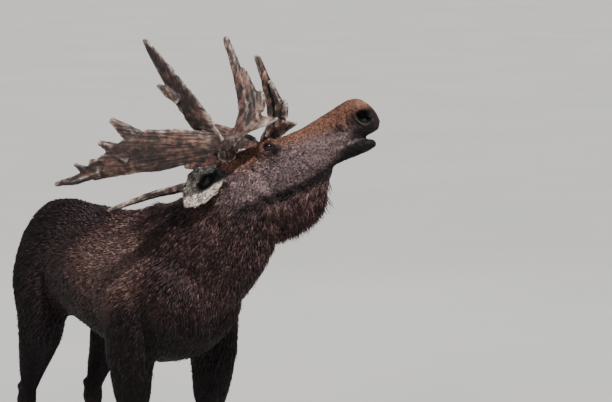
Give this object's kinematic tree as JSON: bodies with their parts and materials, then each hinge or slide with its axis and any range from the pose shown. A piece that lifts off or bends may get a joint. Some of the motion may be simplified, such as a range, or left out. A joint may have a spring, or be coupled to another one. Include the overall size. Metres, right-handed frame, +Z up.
{
  "type": "moose",
  "caption": "Bull moose standing still, its long head raised and turned left to browse, with palmate antlers, shoulder hump and throat bell.",
  "frame": {"origin": "middle of the overall box at its bottom, on the level of the soles", "axes": "+X from tail to chest, +Y to the animal's left, +Z up"},
  "size_m": [2.3016, 1.3696, 2.6023],
  "materials": {
    "hide": "matte coarse fur",
    "horn": "dull dark horn of the hooves",
    "eye": "wet gloss",
    "antler": "ridged bone, stained brown with pale edges and tips"
  },
  "bodies": {
    "root": {"trunk": "hide", "neck": "hide", "head": "hide", "tail": "hide", "ear_left": "hide", "ear_right": "hide", "eye_left": "eye", "eye_right": "eye", "foreleg_left": "hide", "foreleg_right": "hide", "hindleg_left": "hide", "hindleg_right": "hide", "hoof_fore_left": "horn", "hoof_fore_right": "horn", "hoof_hind_left": "horn", "hoof_hind_right": "horn", "antler_beam_left": "antler", "antler_beam_right": "antler", "antler_brow_left": "antler", "antler_brow_right": "antler", "antler_palm_left": "antler", "antler_palm_right": "antler", "antler_blade_right": "antler", "antler_tine_left": "antler"}
  },
  "joints": []
}
